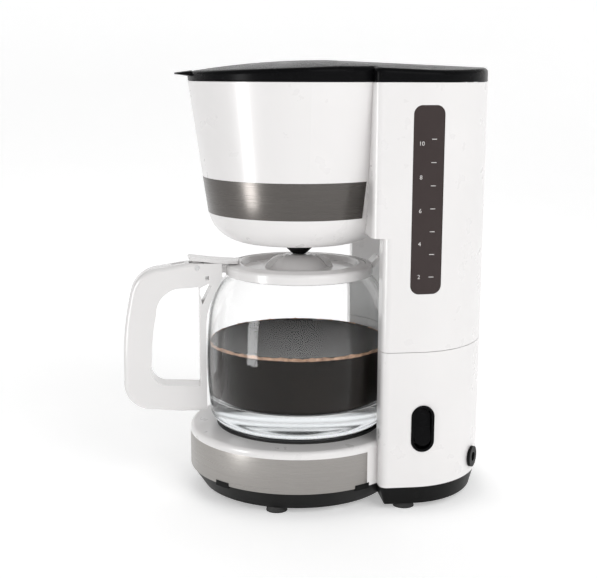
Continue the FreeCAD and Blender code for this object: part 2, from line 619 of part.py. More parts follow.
def drip_stop_spring():
    """Coil made of short straight lengths between six-sided sections."""
    pitch, turns, radius, wire_r, steps = 2.6, 6, 6.2, 0.55, 12

    def section(turn):
        angle = 2 * math.pi * turn
        outward = V(math.cos(angle), math.sin(angle), 0)
        along = V(-radius * math.sin(angle), radius * math.cos(angle), pitch / (2 * math.pi))
        upward = along.cross(outward).normalize()
        middle = outward * radius + V(0, BREW_Y, 190.6 + pitch * turn)
        corners = [math.pi / 3 * i for i in range(7)]
        return Part.makePolygon([middle + outward * (wire_r * math.cos(c)) + upward * (wire_r * math.sin(c))
                                 for c in corners])
    return Part.makeLoft([section(i / steps) for i in range(turns * steps + 1)], True, True)


# ---- lid ----------------------------------------------------------------
def lid_crown(drop):
    """Space under the lid's curved top: a ball in front and a sloping barrel behind."""
    middle = V(0, LID_TOP_Y, LID_TOP - drop - LID_CROWN_R)
    back = Part.makeCylinder(LID_CROWN_R, 140, middle, V(0, 1, -LID_FALL))
    return Part.makeSphere(LID_CROWN_R, middle).fuse(back)


def lid_plan(z0, z1, inset):
    return join(cyl(HEAD_RIM_R - inset, z0, z1), tower(z0, z1, HEAD_FRONT, inset))


def lid_shell():
    outer = lid_plan(LID_BOTTOM, LID_TOP + 4, 0.0).common(lid_crown(0.0))
    inner = lid_plan(LID_BOTTOM - 1, LID_TOP + 4, LID_WALL).common(lid_crown(LID_WALL))
    shell = outer.cut(inner)
    tab = side_plate([(-78.5, 323.0), (-91.6, 320.9), (LID_TAB_Y, 320.2), (-91.6, 319.5), (-87.0, 318.0),
                      (-86.6, 315.0), (-85.2, 315.0), (-84.8, 317.4), (-78.5, 316.4)], 17.0)
    tab = tab.common(cyl(48, 310, 330, 0, LID_TAB_Y + 48))
    rear_gap = block(-18, 18, HINGE_Y - 4.0, 155, 300, 322.8)
    rear_edge = block(-HINGE_CUT_HALF, HINGE_CUT_HALF, HINGE_Y - 4.0, 155, 300, 316.0)
    shell = join(shell, tab.cut(cyl(HEAD_RIM_R - 1, 300, 340))).cut([rear_gap, rear_edge])
    knuckles = []
    for x in (-12.6, 8.1):
        web = block(x, x + 4.5, HINGE_Y - 1.6, HINGE_Y + 1.6, HINGE_Z, 324.2)
        barrel = rod((x, HINGE_Y, HINGE_Z), (1, 0, 0), HINGE_R, 4.5)
        bore = rod((x - 1, HINGE_Y, HINGE_Z), (1, 0, 0), HINGE_PIN_R + HINGE_CLEAR, 7)
        knuckles.append(join(barrel, web).cut(bore))
    posts = [cyl(2.5, 318.2, LID_TOP, x, y).common(lid_crown(1.0))
             for x, y in ((0, -55), (-50, 0), (50, 0), (-50, 100), (50, 100))]
    return join(shell, *(knuckles + posts))


def lid_inner_panel():
    panel = join(cyl(73, 316.4, 318.2), tower(316.4, 318.2, HEAD_FRONT, 7.0))
    return panel.common(block(-90, 90, -90, 134, 300, 330))


def lid_hinge_pin():
    return rod((-17.5, HINGE_Y, HINGE_Z), (1, 0, 0), HINGE_PIN_R, 35)


# ---- carafe -------------------------------------------------------------
def glass_shape():
    outer = [(0, 57.6), (42.0, 57.2), (47.6, 54.8), (50.5, GLASS_BOTTOM), (60.5, GLASS_BOTTOM),
             ((66.4, 55.6), (69.3, 61.5)), ((GLASS_R, 98.0), (69.8, 138.5)), ((65.6, 152.8), (54.6, 169.0)),
             (52.0, 172.5), (52.0, GLASS_RIM_Z - 1), ((51.0, GLASS_RIM_Z), (50.0, GLASS_RIM_Z - 1))]
    inner = [(50.0, 171.8), (53.0, 167.6), ((63.6, 151.8), (67.6, 138.0)), ((69.7, 98.0), (67.4, 67.0)),
             ((65.6, 62.9), (60.5, GLASS_FLOOR)), (0, GLASS_FLOOR)]
    return turned(outer + inner, BREW_Y)


def carafe_collar():
    band = turned([(56.0, 168.2), (56.9, 168.8), (57.1, 173.4), ((56.4, 175.4), (54.6, 176.2)), (51.5, 176.7),
                   (51.5, 174.1), (52.2, 174.1), (52.2, 172.6), (55.0, 169.2)], BREW_Y)
    spout = side_plate([(56, 171.0), (59.5, 173.0), (64.5, 180.5), (62.5, 181.3), (57.5, 176.4), (54, 176.4),
                        (54, 171.0)], 8.0)
    spout = spout.cut(cyl(55.0, 160, 190, 0, BREW_Y))
    lug = block(-5, 5, -62.5, -50, 170.2, 176.0).cut(cyl(56.5, 160, 190, 0, BREW_Y))
    return join(band, spout, lug).cut(rod((0, -66, 173.4), (0, 1, 0), 1.3, 12))


def carafe_lid():
    dish = turned([(0, 181.3), (8.6, 181.3), (19.6, 172.6), ((20.6, 171.4), (22.4, 171.0)), (43.0, 171.0),
                   (44.8, 174.1), (51.2, 174.1), (51.2, 176.3), (46.8, 177.2), (45.2, 176.8), (43.4, 173.0),
                   (23.8, 173.0), ((22.2, 173.4), (21.0, 174.4)), ((16.4, 179.6), (9.5, CARAFE_LID_TOP)),
                   (0, CARAFE_LID_TOP)], BREW_Y)
    hole = cyl(3.2, 170, 190, 0, BREW_Y)
    fins = []
    for side in (-1, 1):
        fin = turned([(22.5, 173.0), (26.5, 173.0), (24.8, 176.4), ((20.0, 180.6), (13.2, 182.9)), (12.0, 182.0)],
                     BREW_Y)
        wedge = block(-2.2, 40, -1.1, 1.1, 160, 190)
        wedge.rotate(V(0, 0, 0), V(0, 0, 1), side * 90)
        wedge.translate(V(0, BREW_Y, 0))
        fins.append(fin.common(wedge).cut(cyl(8, 160, 190, 0, BREW_Y)))
    skirt = ring(48.8, 47.2, 169.3, 174.6, 0, BREW_Y)
    return join(dish, skirt, *fins).cut(hole)


def handle_side():
    """Whole side view of the handle, as a plate with its outer edges rounded."""
    glass_gap = -(GLASS_R + 0.7 - BREW_Y)
    side = side_plate([(-62.5, 178.0), (-88.0, 178.0), (-105.5, 175.0),
                       ((-120.4, 169.0), (-128.0, 156.0)), ((-132.6, 131.0), (HANDLE_FRONT, 104.0)),
                       (HANDLE_FRONT, 88.0), ((-129.4, 70.8), (-112.0, 63.6)), (-93.0, 61.8), (-76.0, 61.6),
                       (glass_gap, 64.0), (glass_gap, 126.0), ((-69.4, 141.0), (-64.5, 153.8)),
                       (-57.8, 166.2), (-58.4, 168.0), (-58.6, 178.0)], HANDLE_HALF)
    outer = [edge for edge in side.Edges if edge.BoundBox.XLength < 0.01
             and edge.BoundBox.YMax < -64 and edge.BoundBox.YMin <= -76.5]
    return side.makeFillet(HANDLE_EDGE_R, outer)


def handle_opening(grow):
    """Finger opening, or the line a little outside it where the two shells meet."""
    g = grow
    return side_plate([(-76.0 + g, 160.0 + g), (-88.0, 159.2 + g), ((-103.0 - g, 153.6 + g), (-109.0 - g, 139.0)),
                       ((-112.2 - g, 118.0), (-112.9 - g, 100.0)), ((-111.0 - g, 88.2 - g), (-100.0, 83.2 - g)),
                       (-76.0 + g, 82.0 - g)], HANDLE_HALF + 1)


def shell_line():
    line = handle_opening(14.0)
    return line.fuse(block(-20, 20, -95, 0, 40, 190))


def handle_cuts():
    window = side_plate([(-75.4, 153.5), (-73.6, 146.5), (-66.6, 160.5), (-69.0, 162.6), (-75.4, 159.0)],
                        HANDLE_HALF + 1)
    square = block(-20, 20, -71.2, -68.6, 165.4, 168.4)
    slot = join(block(-3, 3, -94, -89.3, 171.5, 180), cyl(3, 171.5, 180, 0, -94), cyl(3, 171.5, 180, 0, -89.3))
    lever_slot = block(-4.2, 4.2, -83.5, -50, 169.6, 180)
    pin_bore = rod((-20, LEVER_PIN[0], LEVER_PIN[1]), (1, 0, 0), 2.0, 40)
    collar_room = block(-5.2, 5.2, -63.0, -50, 168.0, 180)
    around_collar = cyl(57.6, 160, 190, 0, BREW_Y)
    return [handle_opening(0.0), window, square, slot, lever_slot, pin_bore, collar_room, around_collar]


def handle_grip():
    return handle_side().cut(shell_line()).cut(handle_cuts())


def handle_spine():
    side = handle_side().common(shell_line()).cut(handle_cuts())
    return side.cut(rod((0, -80, 173.4), (0, 1, 0), 1.3, 30))


def handle_screws():
    shank = rod((0, -66.5, 173.4), (0, 1, 0), 1.3, 9.0)
    head = rod((0, -68.0, 173.4), (0, 1, 0), 2.6, 1.6)
    return join(shank, head)


def carafe_lid_lever():
    blade = side_plate([(-84.7, 183.2), (-83.0, 180.6), (-64.0, 178.2), (-49.0, 177.3), (-44.5, 177.3),
                        ((-44.2, 178.6), (-47.0, 179.4)), (-65.6, 180.8), (-80.0, 182.6)], 9.0)
    tongue = cyl(20, 170, 190, 0, -64.4)
    ear = block(-3.8, 3.8, -81.0, -73.6, 171.2, 181.0)
    blade = join(blade.common(tongue), ear)
    return blade.cut(rod((-20, LEVER_PIN[0], LEVER_PIN[1]), (1, 0, 0), 2.05, 40))


def carafe_lid_pin():
    length = 2 * HANDLE_HALF + 0.6
    return rod((-length / 2, LEVER_PIN[0], LEVER_PIN[1]), (1, 0, 0), 2.0, length)


PIECES = {
    "upper_housing": upper_housing, "lower_housing": lower_housing, "bottom_pan": bottom_pan,
    "rubber_feet": rubber_feet, "pan_screws": pan_screws, "housing_screws": housing_screws,
    "head_trim_band": lambda: head_band(0.05, 0.0), "base_trim_band": base_trim_band,
    "gauge_window": gauge_window, "gauge_seal": gauge_seal,
    "cord_gland": cord_gland, "cord_clamp": cord_clamp, "terminal_block": terminal_block,
    "switch_bezel": switch_bezel, "switch_body": switch_body, "switch_rocker": switch_rocker,
    "warming_plate": warming_plate, "plate_seal_ring": plate_seal_ring,
    "heater_casting": heater_casting, "heater_element": heater_element, "heater_clamp": heater_clamp,
    "heater_nut": heater_nut, "thermostat": thermostat, "thermal_fuses": thermal_fuses,
    "heater_leads": heater_leads,
    "tank_strainer": tank_strainer, "check_valve_body": check_valve_body,
    "check_valve_ball": check_valve_ball,
    "cold_water_hose": lambda: hose(-HOSE_X, 128.0), "hot_water_hose": lambda: hose(HOSE_X, 145.0),
    "hose_clips": hose_clips, "riser_tube": riser_tube, "water_spreader": water_spreader,
    "filter_basket": filter_basket, "basket_bail": basket_bail,
    "filter_frame": filter_frame, "filter_mesh": filter_mesh,
    "drip_stop_seal": drip_stop_seal, "drip_stop_spring": drip_stop_spring,
    "drip_stop_valve": drip_stop_valve,
    "lid_shell": lid_shell, "lid_inner_panel": lid_inner_panel, "lid_hinge_pin": lid_hinge_pin,
    "carafe_glass": glass_shape, "carafe_collar": carafe_collar,
    "handle_grip": handle_grip, "handle_spine": handle_spine, "handle_screws": handle_screws,
    "carafe_lid": carafe_lid, "carafe_lid_lever": carafe_lid_lever, "carafe_lid_pin": carafe_lid_pin,
}

os.makedirs("parts", exist_ok=True)
for name, make in PIECES.items():
    save(name, make())
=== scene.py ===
import bmesh
import bpy
import json
import math
from mathutils import Matrix, Vector


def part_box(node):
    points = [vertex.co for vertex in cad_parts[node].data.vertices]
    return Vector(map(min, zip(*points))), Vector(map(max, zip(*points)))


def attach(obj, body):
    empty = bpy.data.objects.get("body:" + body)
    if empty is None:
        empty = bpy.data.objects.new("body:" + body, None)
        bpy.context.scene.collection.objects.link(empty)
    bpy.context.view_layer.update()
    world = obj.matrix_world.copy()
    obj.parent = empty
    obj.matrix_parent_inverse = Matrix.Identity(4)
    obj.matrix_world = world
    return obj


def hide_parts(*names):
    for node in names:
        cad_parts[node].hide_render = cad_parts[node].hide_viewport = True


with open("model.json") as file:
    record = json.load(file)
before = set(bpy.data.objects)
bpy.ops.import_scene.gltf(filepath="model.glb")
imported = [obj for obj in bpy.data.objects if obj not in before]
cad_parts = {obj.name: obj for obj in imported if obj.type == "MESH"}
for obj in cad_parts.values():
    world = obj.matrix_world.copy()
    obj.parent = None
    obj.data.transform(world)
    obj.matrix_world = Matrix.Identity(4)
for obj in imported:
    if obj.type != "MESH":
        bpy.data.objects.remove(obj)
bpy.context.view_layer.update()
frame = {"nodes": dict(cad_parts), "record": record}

MM = 0.001
SLOT_OF = {part["node"]: part["material_slot"] for part in frame["record"]["subparts"]}
BODY_OF = {node: body for body, nodes in frame["record"]["behaviour"]["bodies"].items() for node in nodes}


# ---- places taken from the frame ----------------------------------------
BOXES = {node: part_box(node) for node in frame["nodes"]}


def low(node):
    return BOXES[node][0]


def high(node):
    return BOXES[node][1]


def middle(node):
    return (low(node) + high(node)) / 2


BREW_Y = middle("plate_seal_ring").y           # axis of the carafe and the basket
BASE_R = 83.75                                 # radius of the base's strip, mm
BASE_Y = low("base_trim_band").y + BASE_R * MM  # middle of the round base and of the head
HEAD_R = high("lid_shell").x                   # radius of the lid's round front
REAR_Y = high("lower_housing").y


# ---- mesh helpers -------------------------------------------------------
def new_object(name, vertices, faces, smooth=True):
    mesh = bpy.data.meshes.new(name)
    mesh.from_pydata([tuple(v) for v in vertices], [], faces)
    mesh.validate()
    mesh.update()
    obj = bpy.data.objects.new(name, mesh)
    bpy.context.scene.collection.objects.link(obj)
    if smooth:
        for face in mesh.polygons:
            face.use_smooth = True
    return obj


def arc(first, mid, last, steps=10):
    """Points after first, up to last, on the circle through three (r, z) points."""
    (ax, ay), (bx, by), (cx, cy) = first, mid, last
    d = 2 * (ax * (by - cy) + bx * (cy - ay) + cx * (ay - by))
    a2, b2, c2 = ax * ax + ay * ay, bx * bx + by * by, cx * cx + cy * cy
    ux = (a2 * (by - cy) + b2 * (cy - ay) + c2 * (ay - by)) / d
    uy = (a2 * (cx - bx) + b2 * (ax - cx) + c2 * (bx - ax)) / d
    start = math.atan2(ay - uy, ax - ux)
    turn_mid = (math.atan2(by - uy, bx - ux) - start) % (2 * math.pi)
    turn = (math.atan2(cy - uy, cx - ux) - start) % (2 * math.pi)
    if turn_mid > turn:
        turn -= 2 * math.pi
    radius = math.hypot(ax - ux, ay - uy)
    angles = [start + turn * i / steps for i in range(1, steps + 1)]
    return [(ux + radius * math.cos(a), uy + radius * math.sin(a)) for a in angles]


def trace(parts, steps=10):
    """Open outline from points; a pair (middle, end) makes an arc."""
    points = [parts[0]]
    for item in parts[1:]:
        if isinstance(item[0], tuple):
            points += arc(points[-1], item[0], item[1], steps)
        else:
            points.append(item)
    return points


def rounded(points, radius, steps=4):
    """Closed (r, z) outline with its corners rounded."""
    result = []
    count = len(points)
    for i, point in enumerate(points):
        here = Vector(point)
        before = Vector(points[i - 1]) - here
        after = Vector(points[(i + 1) % count]) - here
        reach = min(radius, before.length * 0.45, after.length * 0.45)
        start, end = here + before.normalized() * reach, here + after.normalized() * reach
        for k in range(steps + 1):
            t = k / steps
            result.append(tuple(start * (1 - t) ** 2 + here * (2 * t * (1 - t)) + end * t * t))
    return result


def lathe(name, profile, y, steps=192, span=None):
    """Surface of revolution about the vertical line at y. profile is (r, z) in mm. A span of
    (first, last) angles in degrees makes a closed piece of it, and a closed profile is needed."""
    points = [(r * MM, z * MM) for r, z in profile]
    whole = span is None
    first, last = (0.0, 360.0) if whole else span
    columns = steps if whole else steps + 1
    vertices = []
    for i in range(columns):
        angle = math.radians(first + (last - first) * i / steps)
        for r, z in points:
            vertices.append((r * math.cos(angle), y + r * math.sin(angle), z))
    count = len(points)
    closed = points[0][0] > 1e-6 or points[-1][0] > 1e-6
    rows = count if closed else count - 1
    faces = []
    for i in range(steps):
        a, b = i * count, ((i + 1) % columns) * count
        for k in range(rows):
            n = (k + 1) % count
            faces.append((a + k, b + k, b + n, a + n))
    if not whole:
        faces.append(tuple(range(count)))
        faces.append(tuple(reversed(range((columns - 1) * count, columns * count))))
    obj = new_object(name, vertices, faces)
    clean(obj)
    return obj


def clean(obj, distance=1e-7):
    """Welds doubled points, drops empty faces and turns every face outward."""
    bm = bmesh.new()
    bm.from_mesh(obj.data)
    bmesh.ops.remove_doubles(bm, verts=bm.verts, dist=distance)
    bmesh.ops.dissolve_degenerate(bm, edges=bm.edges, dist=distance)
    bmesh.ops.recalc_face_normals(bm, faces=bm.faces)
    bm.to_mesh(obj.data)
    bm.free()


def sharpen(obj, angle=40):
    """Smooth shading that keeps edges sharper than the angle."""
    obj.data.set_sharp_from_angle(angle=math.radians(angle))


# ---- material helpers ---------------------------------------------------
def material(name, color, roughness, metallic=0.0, **sockets):
    made = bpy.data.materials.new(name)
    made.use_nodes = True
    shader = made.node_tree.nodes["Principled BSDF"]
    shader.inputs["Base Color"].default_value = (*color, 1)
    shader.inputs["Roughness"].default_value = roughness
    shader.inputs["Metallic"].default_value = metallic
    for key, value in sockets.items():
        shader.inputs[key.replace("_", " ")].default_value = value
    return made


def noise(made, scale, detail=3.0, stretch=(1, 1, 1)):
    nodes, links = made.node_tree.nodes, made.node_tree.links
    place = nodes.new("ShaderNodeTexCoord")
    mapping = nodes.new("ShaderNodeMapping")
    mapping.inputs["Scale"].default_value = stretch
    texture = nodes.new("ShaderNodeTexNoise")
    texture.inputs["Scale"].default_value = scale
    texture.inputs["Detail"].default_value = detail
    links.new(place.outputs["Object"], mapping.inputs["Vector"])
    links.new(mapping.outputs["Vector"], texture.inputs["Vector"])
    return texture.outputs["Fac"]


def spread(made, source, socket, low_value, high_value):
    """Drives a shader socket from a texture, between two values or colours."""
    nodes, links = made.node_tree.nodes, made.node_tree.links
    shader = nodes["Principled BSDF"]
    if isinstance(low_value, tuple):
        ramp = nodes.new("ShaderNodeValToRGB")
        ramp.color_ramp.elements[0].position = 0.3
        ramp.color_ramp.elements[1].position = 0.7
        ramp.color_ramp.elements[0].color = (*low_value, 1)
        ramp.color_ramp.elements[1].color = (*high_value, 1)
        links.new(source, ramp.inputs["Fac"])
        links.new(ramp.outputs["Color"], shader.inputs[socket])
    else:
        span = nodes.new("ShaderNodeMapRange")
        span.inputs["From Min"].default_value = 0.3
        span.inputs["From Max"].default_value = 0.7
        span.inputs["To Min"].default_value = low_value
        span.inputs["To Max"].default_value = high_value
        links.new(source, span.inputs["Value"])
        links.new(span.outputs["Result"], shader.inputs[socket])


def bump(made, source, strength, distance):
    nodes, links = made.node_tree.nodes, made.node_tree.links
    node = nodes.new("ShaderNodeBump")
    node.inputs["Strength"].default_value = strength
    node.inputs["Distance"].default_value = distance
    links.new(source, node.inputs["Height"])
    links.new(node.outputs["Normal"], nodes["Principled BSDF"].inputs["Normal"])


def plastic(name, color, roughness, grain=0.08, grain_scale=2600, **sockets):
    """Moulded plastic: fine grain, faint unevenness in colour and gloss."""
    made = material(name, color, roughness, **sockets)
    wide = noise(made, 14, 2)
    lighter = tuple(min(1.0, c * 1.012 + 0.001) for c in color)
    darker = tuple(c * 0.988 for c in color)
    spread(made, wide, "Base Color", darker, lighter)
    spread(made, noise(made, 60, 4), "Roughness", roughness * 0.88, roughness * 1.12)
    if grain:
        bump(made, noise(made, grain_scale, 2), grain, 0.00004)
    return made


def brushed(name, color, roughness, stretch, depth=0.25):
    """Metal with fine lines along one direction."""
    made = material(name, color, roughness, metallic=1.0)
    lines = noise(made, 1.0, 3, stretch)
    spread(made, lines, "Roughness", roughness * 0.85, roughness * 1.15)
    darker = tuple(c * 0.95 for c in color)
    spread(made, noise(made, 1.0, 2, tuple(s * 0.6 for s in stretch)), "Base Color", darker, color)
    if depth:
        bump(made, lines, depth, 0.00002)
    return made


# ---- materials ----------------------------------------------------------
def make_materials():
    return {
        "white_shell": plastic("white_shell", (0.83, 0.815, 0.81), 0.30, 0.0, Coat_Weight=0.25,
                               Coat_Roughness=0.12),
        "white_handle": plastic("white_handle", (0.80, 0.785, 0.78), 0.24, 0.0, Coat_Weight=0.3,
                                Coat_Roughness=0.08),
        "black_lid": plastic("black_lid", (0.004, 0.004, 0.0045), 0.26, 0.0, Specular_IOR_Level=0.04),
        "black_base": plastic("black_base", (0.006, 0.006, 0.006), 0.42, 0.2, 1500, Specular_IOR_Level=0.1),
        "inner_plastic": plastic("inner_plastic", (0.06, 0.06, 0.062), 0.45, 0.3, 1400),
        "band_steel": brushed("band_steel", (0.34, 0.325, 0.31), 0.30, (9, 9, 2600)),
        "smoked_window": plastic("smoked_window", (0.043, 0.031, 0.030), 0.18, 0.02, Specular_IOR_Level=0.2),
        # The head band's steel is a darker copy of band_steel: painted shade standing in for the dark
        # surroundings it reflects.
        "head_band_painted_shade": brushed("head_band_painted_shade", (0.115, 0.107, 0.101), 0.26, (9, 9, 2600), 0.0),
        "plate_coating": plastic("plate_coating", (0.022, 0.022, 0.024), 0.36, 0.5, 1200),
        "seal_rubber": plastic("seal_rubber", (0.02, 0.02, 0.02), 0.6, 0.3, 1500),
        "foot_rubber": plastic("foot_rubber", (0.016, 0.016, 0.016), 0.7, 0.4, 1500),
        "cast_aluminium": plastic("cast_aluminium", (0.55, 0.55, 0.56), 0.42, 0.8, 900, metallic=1.0),
        "steel": brushed("steel", (0.60, 0.60, 0.60), 0.25, (900, 900, 900), 0.1),
        "hose_silicone": plastic("hose_silicone", (0.72, 0.72, 0.69), 0.45, 0.15, Subsurface_Weight=0.1,
                                 Subsurface_Scale=0.004),
        "wire_cover": plastic("wire_cover", (0.55, 0.53, 0.48), 0.7, 0.9, 3000),
        "mesh_nylon": weave("mesh_nylon"),
        "valve_ball": plastic("valve_ball", (0.45, 0.16, 0.07), 0.5, 0.2),
        "carafe_glass": clear_glass("carafe_glass"),
    }


def let_light_through(made):
    """Lamps and scattered light pass straight through the glass to what stands behind it."""
    nodes, links = made.node_tree.nodes, made.node_tree.links
    shader, output = nodes["Principled BSDF"], nodes["Material Output"]
    path = nodes.new("ShaderNodeLightPath")
    either = nodes.new("ShaderNodeMath")
    either.operation = "MAXIMUM"
    links.new(path.outputs["Is Shadow Ray"], either.inputs[0])
    links.new(path.outputs["Is Diffuse Ray"], either.inputs[1])
    clear = nodes.new("ShaderNodeBsdfTransparent")
    clear.inputs["Color"].default_value = (0.95, 0.96, 0.96, 1)
    mix = nodes.new("ShaderNodeMixShader")
    links.new(either.outputs[0], mix.inputs["Fac"])
    links.new(shader.outputs["BSDF"], mix.inputs[1])
    links.new(clear.outputs["BSDF"], mix.inputs[2])
    links.new(mix.outputs["Shader"], output.inputs["Surface"])


def clear_glass(name, tint=(1.0, 1.0, 1.0), low_roughness=0.0, high_roughness=0.012):
    made = material(name, tint, low_roughness, Transmission_Weight=1.0, IOR=1.45,
                    Specular_Tint=(0.35, 0.35, 0.35, 1))
    spread(made, noise(made, 25, 2), "Roughness", low_roughness, high_roughness)
    let_light_through(made)
    return made


def weave(name):
    """Fine woven mesh: two sets of crossing threads."""
    made = material(name, (0.62, 0.48, 0.20), 0.55, Sheen_Weight=0.2)
    nodes, links = made.node_tree.nodes, made.node_tree.links
    place = nodes.new("ShaderNodeTexCoord")
    waves = []
    for direction in ("Z", "DIAGONAL"):
        wave = nodes.new("ShaderNodeTexWave")
        wave.bands_direction = direction
        wave.inputs["Scale"].default_value = 420
        links.new(place.outputs["Object"], wave.inputs["Vector"])
        waves.append(wave)
    crossed = nodes.new("ShaderNodeMath")
    crossed.operation = "MAXIMUM"
    links.new(waves[0].outputs["Fac"], crossed.inputs[0])
    links.new(waves[1].outputs["Fac"], crossed.inputs[1])
    spread(made, crossed.outputs[0], "Base Color", (0.16, 0.11, 0.04), (0.66, 0.52, 0.24))
    bump(made, crossed.outputs[0], 0.6, 0.0002)
    return made


def coffee_material():
    made = material("coffee", (0.010, 0.0055, 0.0035), 0.12, Specular_IOR_Level=0.01)
    spread(made, noise(made, 30, 2), "Base Color", (0.006, 0.0042, 0.0032), (0.011, 0.0078, 0.006))
    return made


def crema_material():
    made = material("crema", (0.45, 0.24, 0.12), 0.45)
    spread(made, noise(made, 260, 5), "Base Color", (0.20, 0.10, 0.055), (0.62, 0.38, 0.25))
    bump(made, noise(made, 500, 4), 0.8, 0.0006)
    return made


def mark_material():
    made = material("gauge_marks", (0.72, 0.70, 0.68), 0.5)
    spread(made, noise(made, 900, 3), "Base Color", (0.55, 0.53, 0.52), (0.8, 0.78, 0.76))
    return made


MATERIALS = make_materials()


def paint(obj, slot_name):
    obj.data.materials.clear()
    obj.data.materials.append(MATERIALS[slot_name])


def dress_cad_nodes():
    for node, obj in frame["nodes"].items():
        paint(obj, SLOT_OF[node])


def stand_for(obj, node):
    """obj takes a CAD node's place: its body and its finish; the node is hidden."""
    paint(obj, SLOT_OF[node])
    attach(obj, BODY_OF[node])
    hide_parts(node)


# ---- carafe -------------------------------------------------------------
GLASS_FOOT = 20.0            # thickness of the jug's glass foot, mm
COFFEE_TOP = 117.2           # height of the coffee at the glass, mm
COFFEE_GAP = 0.25            # between the coffee and the glass, mm
JUG_STEPS = 224              # columns round the jug


def glass_profiles():
    """Outer and inner outline of the glass, from the middle of its floor."""
    bottom = low("carafe_glass").z / MM
    rim = high("carafe_glass").z / MM
    belly = high("carafe_glass").x / MM
    outer = trace([(0, bottom + 4.5), (42.0, bottom + 4.1), (47.6, bottom + 1.7), (50.5, bottom),
                   (60.5, bottom), ((66.4, bottom + 2.5), (69.3, bottom + 8.4)),
                   ((belly, bottom + 44.9), (69.8, bottom + 85.4)),
                   ((65.6, bottom + 99.7), (54.6, bottom + 115.9)), (52.0, rim - 1.5), (52.0, rim - 1.0),
                   ((51.0, rim), (50.0, rim - 1.0))], 14)
    inner = trace([(50.0, rim - 2.2), (53.0, rim - 6.4), ((63.6, bottom + 98.7), (67.6, bottom + 84.9)),
                   ((belly - 2.2, bottom + 44.9), (67.4, bottom + 13.9)),
                   ((65.6, bottom + 9.8), (60.5, bottom + 8.4)), (0, bottom + 8.4)], 14)
    floor = bottom + GLASS_FOOT
    inner = [point for point in inner if point[1] > floor + 1.5]
    edge = inner[-1][0]
    inner += [(edge - 0.4, floor + 0.7), (edge - 1.8, floor), (0, floor)]
    return outer, inner


def glass_wall(z):
    """Inner radius of the glass at a height, in mm."""
    inner = [p for p in glass_profiles()[1] if p[0] > 40]
    for (r0, z0), (r1, z1) in zip(inner, inner[1:]):
        if min(z0, z1) <= z <= max(z0, z1) and z0 != z1:
            return r0 + (r1 - r0) * (z - z0) / (z1 - z0)
    return inner[-1][0]


def make_carafe():
    outer, inner = glass_profiles()
    glass = lathe("glass_jug", outer + inner, BREW_Y, JUG_STEPS)
    sharpen(glass, 60)
    stand_for(glass, "carafe_glass")
    floor = low("carafe_glass").z / MM
    glass.data.materials.append(clear_glass("glass_foot", (0.90, 0.93, 0.95), 0.10, 0.16))
    for face in glass.data.polygons:
        if face.center.z < (floor + GLASS_FOOT + 0.6) * MM:
            face.material_index = 1

    fill, foot = COFFEE_TOP, floor + GLASS_FOOT + 0.3
    heights = [foot + 2.0 + (fill - foot - 2.0) * i / 24 for i in range(25)]
    side = [(glass_wall(z) - COFFEE_GAP, z) for z in heights]
    meniscus = [(side[-1][0] - 0.7, fill - 0.5), (side[-1][0] - 2.2, fill - 0.75), (0, fill - 0.8)]
    under = [(0, foot), (side[0][0] - 3.0, foot), (side[0][0] - 0.9, foot + 0.6)]
    coffee = lathe("coffee", under + side + meniscus, BREW_Y, JUG_STEPS)
    coffee.data.materials.append(coffee_material())
    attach(coffee, "carafe")

    wall = side[-1][0]
    line = [(wall - 0.6, fill - 2.7), (wall + 0.14, fill - 2.5), (wall + 0.14, fill - 0.1),
            (wall - 0.6, fill - 0.2)]
    foam = lathe("crema", rounded(line, 0.3), BREW_Y, 320)
    for i, vertex in enumerate(foam.data.vertices):
        turn = math.atan2(vertex.co.y - BREW_Y, vertex.co.x)
        ripple = (math.sin(17 * turn) * 0.25 + math.sin(41 * turn + 1.3) * 0.22
                  + math.sin(97 * turn) * 0.18)
        upper = vertex.co.z / MM > fill - 1.3
        vertex.co.z += (ripple if upper else -0.8 * ripple * math.cos(29 * turn)) * MM
    foam.data.materials.append(crema_material())
    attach(foam, "carafe")


# ---- lid ----------------------------------------------------------------
LID_WALL = 2.4 * MM
LID_EDGE_R = 3.2 * MM
LID_FRONT = 45.0 * MM        # front face of the lid's wide part, from the middle of the head
LID_MIDDLE = 60.0 * MM       # the outline is seen whole from this point
CROWN_R = 603.0 * MM
CROWN_TOP_Y = 21.0 * MM
CROWN_FALL = 0.041
TOWER_HALF_AT_LID = 76.7 * MM
TOWER_CURVE_START = 79.4 * MM    # where the tower's rounded back begins, from the middle of the head
TOWER_CORNER_R = 6.0 * MM


def ray_exit(polygon, angle):
    """Distance from the lid's middle to the polygon's edge along an angle."""
    dx, dy = math.cos(angle), math.sin(angle)
    best = 0.0
    for (x0, y0), (x1, y1) in zip(polygon, polygon[1:] + polygon[:1]):
        ex, ey = x1 - x0, y1 - y0
        det = ex * dy - ey * dx
        if abs(det) < 1e-12:
            continue
        t = (ex * y0 - ey * x0) / det
        s = (dx * y0 - dy * x0) / det
        if -1e-9 <= s <= 1 + 1e-9 and t > best:
            best = t
    return best


def lid_ring(inset, angles):
    """Outline of the lid, inset, as points for the given angles round its middle."""
    radius = HEAD_R - inset
    circle = [(radius * math.cos(a), radius * math.sin(a) - LID_MIDDLE)
              for a in (math.radians(1.5 * i) for i in range(240))]
    half = TOWER_HALF_AT_LID - inset
    depth = REAR_Y - BASE_Y - TOWER_CURVE_START - inset
    back = [(half * math.cos(a), TOWER_CURVE_START + depth * math.sin(a) - LID_MIDDLE)
            for a in (math.radians(2 * i) for i in range(91))]
    corner = max(TOWER_CORNER_R - inset, 0.5 * MM)
    front = LID_FRONT + inset - LID_MIDDLE
    left = [(-half + corner - corner * math.cos(a), front + corner - corner * math.sin(a))
            for a in (math.radians(15 * i) for i in range(7))]
    right = [(-x, y) for x, y in reversed(left)]
    tower = back + left + right
    points = []
    for a in angles:
        distance = max(ray_exit(circle, a), ray_exit(tower, a))
        points.append(Vector((distance * math.cos(a), BASE_Y + LID_MIDDLE + distance * math.sin(a))))
    return points


